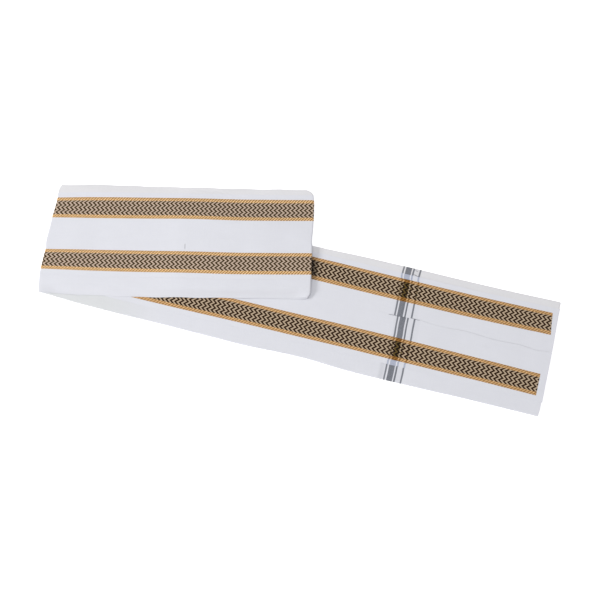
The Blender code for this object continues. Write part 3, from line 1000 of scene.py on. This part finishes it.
@dataclass
class Border(Sheet):
    """The woven border of a leaf, a raised weave that lies on it and follows it round the folds.

    It stops short of the cut end by two distances, at its inner and at its outer line.
    """

    leaf: Leaf
    short: tuple[float, float] = (0.0, 0.0)
    wrap_short: float = 4.3
    step: float = 2.0
    across_parts: int = 26
    thickness: float = 0.12
    rise: float = 0.09
    cord_rise: float = 0.05
    cord_width: float = 3.8
    edge: float = 0.5
    cord_edge: float = 0.7
    skew_from: float = 0.9
    skew_over: float = 0.1

    def path(self) -> list[Station]:
        """The stations that the border passes."""
        return self.leaf.path(self.step, max(self.short), self.wrap_short)

    def faces_up(self, station: Station) -> float:
        """1 where the border lies on top of the cloth, and 0 where it is turned down."""
        turned = {Run.UPPER: 1.0, Run.LEFT: station.at, Run.RIGHT: 1 - station.at}.get(station.run, 0.0)
        return 1.0 if self.face is Face.INNER else float(smooth(turned))

    def profile(self, across: Array) -> Array:
        """How far the border stands up at each place across it: its gold cords stand a little higher.

        Args:
            across: Places from one side of the border to the other.

        Returns:
            The heights.
        """
        inside = np.minimum(across - across[0], across[-1] - across[0] - (across - across[0]))
        cord = smooth((self.cord_width - inside) / self.edge + 0.5) * smooth(inside / self.cord_edge)
        return self.rise * smooth(inside / self.edge) + self.cord_rise * cord

    def row(self, station: Station) -> Pair:
        """One row, from the border's far side to its near one.

        Args:
            station: The place along the band.

        Returns:
            Its points in metres, and their places on the cloth.
        """
        half, outward = self.leaf.half, 1.0 if self.face is Face.INNER else -1.0
        lines = [self.band.line(self.face, station, half.label(line)) for line in ("inner", "outer")]
        across = np.linspace(max(lines), min(lines), self.across_parts + 1)
        raised = self.band.sizes.cloth / 2 - self.thickness / 2 + self.profile(-across)
        depth = self.leaf.depth() + outward * self.faces_up(station) * raised
        points = self.band.point(station, across, depth)
        share, stagger = np.linspace(0, 1, len(across)), np.zeros(len(across))
        if self.face is Face.INNER:
            first, last = self.short[::-1] if half is Half.FAR else self.short
            near_end = smooth((station.at / self.path()[-1].at - self.skew_from) / self.skew_over)
            stagger = (max(self.short) - (first + (last - first) * share)) * near_end
        points[:, :2] += np.outer(stagger, self.band.ways[Run.LOWER][0]) * MM
        along = self.leaf.cloth_along(station, np.full(len(across), -1.0)) + stagger
        return points, np.column_stack([along, share * self.finish.width])

    def build(self) -> Piece:
        """Makes the border and dresses it."""
        node = self.leaf.node.replace("leaf", "border")
        return self.make(f"{node}_weave", node, "zari", self.thickness, self.path())


@dataclass
class PleatedPlies(Sheet):
    """Half of the plies between the two faces, one sheet that runs to and fro across the band."""

    cut: tuple[float, float] = (0.497, 0.985)
    step: float = 4.0
    turn_step: float = 0.6
    tuck_step: float = 9.0
    clear: float = 1.0
    cut_clear: float = 0.5
    margin_parts: int = 8
    hidden_parts: int = 4
    full_parts: int = 6
    turn_parts: int = 4
    margin_under: float = 2.0
    centre_under: float = 0.4
    edge_inset: float = 0.05
    wander: float = 0.28
    face_wander: float = 0.06
    wander_length: float = 83.0
    opening: float = 0.25
    inner_bare: tuple[float, float] = (9.0, 7.0)
    outer_bare: tuple[float, float] = (1.0, 3.0)
    near_stripe: float = 390.6
    near_skew: float = 0.015
    near_selvedge: float = -46.5
    far_stripe: float = 387.8
    stripe_shift: float = 50.0
    stagger: float = 0.35

    def covered(self, station: Station) -> float:
        """1 where leaves lie on this face of the plies, and 0 where the plies are the band's face.

        Args:
            station: The place along the band.

        Returns:
            How far they are covered.
        """
        reached = station.at * self.band.spans[station.run]
        if self.face is Face.INNER:
            start, run = self.inner_bare
            return float(smooth((reached - start) / run)) if station.run is Run.LOWER else 0.0
        start, run = self.outer_bare
        bare = smooth((reached - self.band.sizes.wrap_under - start) / run)
        return float(1 - bare) if station.run in (Run.LOWER, Run.TUCK) else 1.0

    def edge_place(self, station: Station, side: int, fold: int) -> float:
        """Where one fold of the plies ends at a long edge, each wandering by itself.

        Args:
            station: The place along the band.
            side: -1 for the near edge, 1 for the far one.
            fold: Which of the folds it is.

        Returns:
            Its distance across.
        """
        turn = 2 * math.pi * self.band.travelled(station) / self.wander_length
        phase = 2.3 * fold + side + (1.7 if self.face is Face.INNER else 0.0)
        wander = self.wander if fold > 1 else self.face_wander
        drawn_in = wander * (1 + math.sin(turn * (1 + 0.23 * fold) + phase))
        spread = self.spread(station, fold) if side < 0 else 0.0
        edge = self.band.line(Face.INNER, station, Half(side).label("edge"))
        return edge - side * (self.edge_inset + drawn_in - spread)

    def spread(self, station: Station, fold: int) -> float:
        """How far a fold lies outside the near edge: in the upper stretch the lower ones lie further out.

        Args:
            station: The place along the band.
            fold: Which of the folds it is.

        Returns:
            The distance.
        """
        sizes, run = self.band.sizes, station.run
        below_face = (2, 3, 4, 3)[fold - 1] * sizes.ply
        in_upper = below_face if self.face is Face.OUTER else sizes.band - below_face
        in_tuck = sizes.stack + sizes.band - in_upper
        first = {Run.UPPER: in_upper, Run.RIGHT: in_upper, Run.TUCK: in_tuck}.get(run, 0.0)
        last = {Run.LEFT: in_upper, Run.UPPER: in_upper, Run.RIGHT: in_tuck, Run.TUCK: in_tuck}.get(run, 0.0)
        return sizes.splay * (first + (last - first) * station.at)

    def section(self, station: Station) -> tuple[Array, ...]:
        """One section through the plies.

        Args:
            station: The place along the band.

        Returns:
            The places across, the depths below this face, and the number of the ply, all from the centre
            line under one leaf, to and fro, to the centre line under the other.
        """
        sizes, start = self.band.sizes, -1 if self.face is Face.OUTER else 1
        levels = [(index + 0.5) * sizes.ply for index in (1, 2, 3, 4, 1)]
        small, large = sizes.ply / 2 + sizes.cloth / 2, 1.5 * sizes.ply + sizes.cloth / 2
        centre = self.band.line(self.face, station, "centre")
        stops = [centre + start * self.centre_under, self.margin(station, start)]
        for fold, inset in enumerate((small, large + sizes.ply, small, large), 1):
            side = start if fold % 2 else -start
            stops.append(self.edge_place(station, side, fold) - side * inset)
        stops += [self.margin(station, -start), centre - start * self.centre_under]
        full, margins = (self.full_parts,) * 3, (self.hidden_parts, self.margin_parts)
        across, depth, ply = [], [], []
        legs = zip(stops, stops[1:], (*margins, *full, *margins[::-1]), (1, 1, 2, 3, 4, 5, 5))
        for leg, (first, last, parts, number) in enumerate(legs):
            level = levels[number - 1]
            across.extend(np.linspace(first, last, parts + 1)[:-1])
            depth.extend([level] * parts)
            ply.extend([number] * parts)
            if 1 <= leg <= 4:
                side = start if number % 2 else -start
                radius, middle = (levels[number] - level) / 2, (level + levels[number]) / 2
                parts = self.turn_parts + (2 if number == 4 else 0)
                for index in range(parts):
                    angle = math.pi * index / parts
                    across.append(last + side * abs(radius) * math.sin(angle))
                    depth.append(middle - radius * math.cos(angle))
                    ply.append(number + index / parts)
        return np.array(across + stops[-1:]), np.array(depth + levels[-1:]), np.array(ply + [5])

    def margin(self, station: Station, side: int) -> float:
        """Where the margin that shows begins, a little under a leaf's selvedge, on one side."""
        outer = self.band.line(self.face, station, Half(side).label("outer"))
        return outer + side * (self.band.sizes.selvedge - self.margin_under)

    def row(self, station: Station) -> Pair:
        """One row, a section through the plies.

        Args:
            station: The place along the band.

        Returns:
            Its points in metres, and their places on the cloth.
        """
        band, middle = self.band, self.band.sizes.band / 2
        across, depth, ply = self.section(station)
        depth = middle - (middle - depth) * (1 + (1 - self.covered(station)) * self.opening)
        if self.face is Face.INNER:
            depth = band.sizes.band - depth
        stagger = self.stagger * (np.sin(2.1 * ply + depth) - 1)
        far_share = smooth(across / self.stripe_shift + 0.5)
        stripe = self.near_stripe + (self.far_stripe - self.near_stripe) * far_share
        stripe = stripe + self.near_skew * np.minimum(across - self.near_selvedge, 0.0)
        along = float(band.length(Run.LOWER, 0, 0)) - band.travelled(station) - stripe
        return band.point(station, across, depth, stagger), np.column_stack([along, across])

    def build(self) -> Piece:
        """Returns:
            The piece.
        """
        spans, name = self.band.spans, f"hidden_plies_{self.face.value}"
        first = (spans[Run.LOWER] - self.cut_clear, self.clear, self.step)
        last = (self.clear, spans[Run.TUCK], self.tuck_step)
        path = self.band.whole_way(first, self.step, self.turn_step, last)
        piece = self.make(name, "hidden_plies", "cotton_plies", self.band.sizes.cloth, path)
        return piece


class Threads:
    """Loose threads, gathered as closed tubes of rings into one piece."""

    def __init__(self, sides: int) -> None:
        """Starts without a thread, and gives every ring that many sides."""
        self.sides, self.points, self.faces = sides, [], []

    def add(
        self, rings: Sequence[tuple[Array, float, float]], aside: Array, lying: float = 0.0
    ) -> None:
        """Adds one thread.

        Args:
            rings: Each ring's middle in plan, its height and its radius.
            aside: The direction across the thread.
            lying: How high it stands, in shares of its width, if its heights are those that it lies on.
        """
        first, sides = len(self.points), self.sides
        for middle, height, radius in rings:
            for angle in (2 * math.pi * side / sides for side in range(sides)):
                spot = middle + aside * radius * math.cos(angle)
                level = lying * radius * (1 + math.sin(angle)) if lying else radius * math.sin(angle)
                self.points.append((spot[0] * MM, spot[1] * MM, (height + level) * MM))
        last = len(self.points) - sides
        for here in range(first, last):
            after = here + 1 - (0 if (here - first + 1) % sides else sides)
            self.faces.append((here, after, after + sides, here + sides))
        self.faces += [tuple(range(first, first + sides))[::-1], tuple(range(last, last + sides))]

    def build(self, name: str, finish: PlainFinish) -> Piece:
        """Makes the piece, with its faces turned outwards, and dresses it.

        Args:
            name: Its name.
            finish: Its finish.

        Returns:
            The piece.
        """
        piece = new_piece(name, self.points, self.faces, finish.make())
        bpy.ops.object.mode_set(mode="EDIT")
        bpy.ops.mesh.select_all(action="SELECT")
        bpy.ops.mesh.normals_make_consistent(inside=False)
        bpy.ops.object.mode_set(mode="OBJECT")
        bpy.ops.object.shade_smooth_by_angle(angle=SHARP_FROM)
        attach(piece, ROOT)
        return piece


@dataclass(frozen=True)
class ThreadEnd:
    """A loose thread at the cut end: where it leaves, how long it is, and how it turns and lifts."""

    across: float
    length: float
    turn: float
    lift: float
    radius: float = 0.07


@dataclass
class CutEndThreads:
    """The short thread ends of the cut edge, and the longer loose threads at its far corner."""

    band: FoldedBand
    finish: PlainFinish
    seed: int = 11
    count: int = 90
    longest: float = 0.75
    sides: int = 5
    joints: int = 3
    rooted: float = 0.4
    bow: float = 0.12
    taper: float = 0.45
    loose_above: float = 0.2
    between: tuple[float, float] = (-60.0, 62.0)
    turns: tuple[float, float] = (-30.0, 30.0)
    lifts: tuple[float, float] = (-0.05, 0.12)
    loose: tuple[ThreadEnd, ...] = (
        ThreadEnd(62.6, 2.4, 14.0, 0.3, 0.2),
        ThreadEnd(61.9, 1.9, -4.0, 0.2, 0.16),
        ThreadEnd(56.0, 1.2, -18.0, 0.2),
    )

    def add(self, threads: Threads, end: ThreadEnd, depth: float) -> None:
        """Adds one thread end.

        Args:
            threads: The threads that it is added to.
            end: The thread.
            depth: How far below the band's outer face it leaves the cut edge.
        """
        root = self.band.point(Station(Run.LOWER, 1.0), np.array([end.across]), np.array([depth]))[0] / MM
        ahead, aside = heading(self.band.sizes.lower_bearing + end.turn)
        rings = []
        for share in (joint / self.joints for joint in range(self.joints + 1)):
            bowed = aside * self.bow * end.length * share**2
            middle = root[:2] + ahead * (end.length * share - self.rooted) + bowed
            height = root[2] + end.lift * math.sin(math.pi * share)
            rings.append((middle, height, end.radius * (1 - self.taper * share)))
        threads.add(rings, aside)

    def build(self) -> Piece:
        """Makes all the thread ends as one piece.

        Returns:
            The piece.
        """
        random, band = np.random.default_rng(self.seed), self.band.sizes.band
        ends = [(end, band - self.loose_above) for end in self.loose]
        for _ in range(self.count):
            across, length = random.uniform(*self.between), random.uniform(0.5, self.longest) + 0.2
            turn, lifted = random.uniform(*self.turns), random.uniform(*self.lifts)
            ends.append((ThreadEnd(across, length, turn, lifted), random.uniform(0.3, band - 0.15)))
        threads = Threads(self.sides)
        for end, depth in ends:
            self.add(threads, end, depth)
        return threads.build("cut_end_threads", self.finish)


@dataclass
class CarriedWefts:
    """The grey weft threads that lie loose on the face, each from one place along and across to another."""

    band: FoldedBand
    finish: PlainFinish
    floats: tuple[tuple[float, float, float, float], ...] = (
        (398.4, 56.4, 404.4, 55.0),
        (399.6, 61.0, 402.4, 60.9),
        (381.8, 6.5, 400.0, 7.4),
        (406.2, 8.0, 415.6, 7.9),
    )
    radius: float = 0.2
    end_share: float = 0.35
    lying: float = 0.6
    parts: int = 10
    sides: int = 6
    wobble: float = 0.12
    waves: float = 7.0

    def build(self) -> Piece:
        """Makes the threads as one piece.

        Returns:
            The piece.
        """
        threads = Threads(self.sides)
        for start_along, start_across, end_along, end_across in self.floats:
            rings = []
            for share in (part / self.parts for part in range(self.parts + 1)):
                along = start_along + (end_along - start_along) * share
                across = start_across + (end_across - start_across) * share
                across += self.wobble * math.sin(self.waves * share)
                swell = math.sin(math.pi * min(max(share, 0.06), 0.94)) ** 0.4
                radius = self.radius * (self.end_share + (1 - self.end_share) * swell)
                spot = self.band.plan(Run.LOWER, np.array([along]), np.array([across]))[0]
                rings.append((spot, self.band.sizes.band, radius))
            threads.add(rings, self.band.ways[Run.LOWER][1], self.lying)
        return threads.build("carried_wefts", self.finish)


@dataclass
class Cloth:
    """The whole folded cloth: its plies, leaves, borders and thread ends."""

    band: FoldedBand
    lower_cut: float = 0.541
    upper_cut: float = 0.325

    def report(self, piece: Piece) -> None:
        """Reports a finished piece."""
        log.info("%s, %d faces", piece.name, len(piece.data.polygons))

    def dress_leaf(
        self, leaf: Leaf, finish: ZariFinish, short: tuple[float, float] = (0.0, 0.0)
    ) -> None:
        """Args:
            leaf: The leaf.
            finish: Its border's finish.
            short: How far short of the cut end its border stops, at its inner and its outer line.
        """
        sheet, border = leaf.build(), Border(self.band, leaf.face, finish, leaf, short).build()
        self.report(sheet)
        self.report(border)

    def build(self) -> None:
        """Builds every piece of the cloth."""
        plies = CottonFinish("cotton_plies", far_white=(0.757, 0.75, 0.772), haze=Bar(-7.0, -2.2, 0.12))
        for face in Face:
            self.report(PleatedPlies(self.band, face, plies).build())
        cotton = CottonFinish("cotton", has_selvedge=True)
        # The upper near leaf has a short line of painted crease shade
        crease_painted_cotton = CottonFinish("cotton_painted_crease", painted_crease_at=(1160.1, -29.6), painted_crease_depth=0.38)
        lower = dict(
            bias=0.18,
            dark=(0.026, 0.0085, 0.0006),
            beige=(0.492, 0.379, 0.262),
            deep_gold=(0.37, 0.19, 0.07),
            pale_gold=(0.71, 0.445, 0.205),
        )
        # The lower far border has painted shade beside the right fold's edge
        zari = ZariFinish("zari_lower_far", pitch=4.98, shift=-0.45, painted_shade_at=-100.3, **lower)
        self.dress_leaf(Leaf(self.band, Face.INNER, cotton, Half.FAR, 388.5), zari, (4.8, 6.8))
        zari = ZariFinish("zari_lower_near", pitch=5.1, **lower)
        self.dress_leaf(Leaf(self.band, Face.INNER, cotton, Half.NEAR, 392.15), zari, (7.7, 7.9))
        zari = ZariFinish("zari_upper_far", pitch=4.86)
        self.dress_leaf(Leaf(self.band, Face.OUTER, cotton, Half.FAR), zari)
        zari = ZariFinish("zari_upper_near", pitch=4.82)
        self.dress_leaf(Leaf(self.band, Face.OUTER, crease_painted_cotton, Half.NEAR), zari)
        self.report(CutEndThreads(self.band, PlainFinish("thread_white", (0.78, 0.79, 0.83))).build())
        self.report(CarriedWefts(self.band, PlainFinish("thread_grey", (0.15, 0.155, 0.18))).build())


@dataclass(frozen=True)
class Lamp:
    """A soft area light aimed at the cloth: its bearing and height above the table in degrees."""

    name: str
    bearing: float
    elevation: float
    distance: float
    size: float
    power: float


@dataclass
class Studio:
    """The floor, the lights and the camera."""

    band: FoldedBand
    floor_half: float = 6.0
    floor_drop: float = 0.0001
    floor_finish: PlainFinish = PlainFinish("floor_white", (0.9, 0.9, 0.9), glow=0.5)
    sky: float = 0.5
    lamps: tuple[Lamp, ...] = (
        Lamp("key", 178.0, 31.0, 3.2, 0.96, 54.0),
        Lamp("near", 262.0, 40.0, 2.4, 1.2, 4.8),
        Lamp("top", 150.0, 82.0, 2.4, 1.2, 11.8),
    )
    lens: float = 50.0
    sensor: float = 36.0
    clip_start: float = 0.01
    elevation: float = 76.0
    distance: float = 0.90
    aim_from_fold: tuple[float, float] = (277.15, -68.89)

    def place(self, data: bpy.types.ID, way: Vector, distance: float, aim: Vector) -> Piece:
        """Stands a lamp or the camera off from a spot and faces it there.

        Args:
            data: The lamp or camera.
            way: The direction from the spot to it.
            distance: How far off it stands, in metres.
            aim: The spot.

        Returns:
            The placed object.
        """
        placed = bpy.data.objects.new(data.name, data)
        placed.location = aim + way * distance
        placed.rotation_euler = way.to_track_quat("Z", "Y").to_euler()
        bpy.context.scene.collection.objects.link(placed)
        return placed

    def build_floor(self) -> None:
        """A plain pale floor just under the cloth."""
        bpy.ops.object.select_all(action="DESELECT")
        bpy.ops.mesh.primitive_plane_add(size=2 * self.floor_half, location=(0, 0, -self.floor_drop))
        floor = bpy.context.active_object
        floor.name = "floor"
        floor.data.materials.append(self.floor_finish.make())

    def build_lights(self) -> None:
        """An even sky and the soft lights."""
        world = bpy.data.worlds.new("studio")
        bpy.context.scene.world = world
        world.use_nodes = True
        background = world.node_tree.nodes["Background"]
        background.inputs["Color"].default_value = (1.0, 1.0, 1.0, 1.0)
        background.inputs["Strength"].default_value = self.sky
        for lamp in self.lamps:
            light = bpy.data.lights.new(lamp.name, "AREA")
            light.size, light.energy = lamp.size, lamp.power
            turn, up = math.radians(lamp.bearing), math.radians(lamp.elevation)
            way = Vector((math.cos(turn) * math.cos(up), math.sin(turn) * math.cos(up), math.sin(up)))
            self.place(light, way, lamp.distance, Vector())

    def build_camera(self) -> None:
        """The camera, at the photograph's angle."""
        camera = bpy.data.cameras.new("camera")
        camera.lens, camera.sensor_width, camera.clip_start = self.lens, self.sensor, self.clip_start
        up = math.radians(self.elevation)
        way = Vector((0.0, -math.cos(up), math.sin(up)))
        sizes, beyond = self.band.sizes, self.aim_from_fold
        aim = Vector(((sizes.fold_x + beyond[0]) * MM, (sizes.fold_y + beyond[1]) * MM, 0.0))
        bpy.context.scene.camera = self.place(camera, way, self.distance, aim)
        bpy.context.scene.view_settings.view_transform = "Standard"


def main() -> None:
    """Builds the cloth and its studio in order."""
    logging.basicConfig(level=logging.INFO, format="%(name)s: %(message)s")
    band = FoldedBand(BandSizes())
    Cloth(band).build()
    studio = Studio(band)
    studio.build_floor()
    studio.build_lights()
    studio.build_camera()


if __name__ == "__main__":
    main()
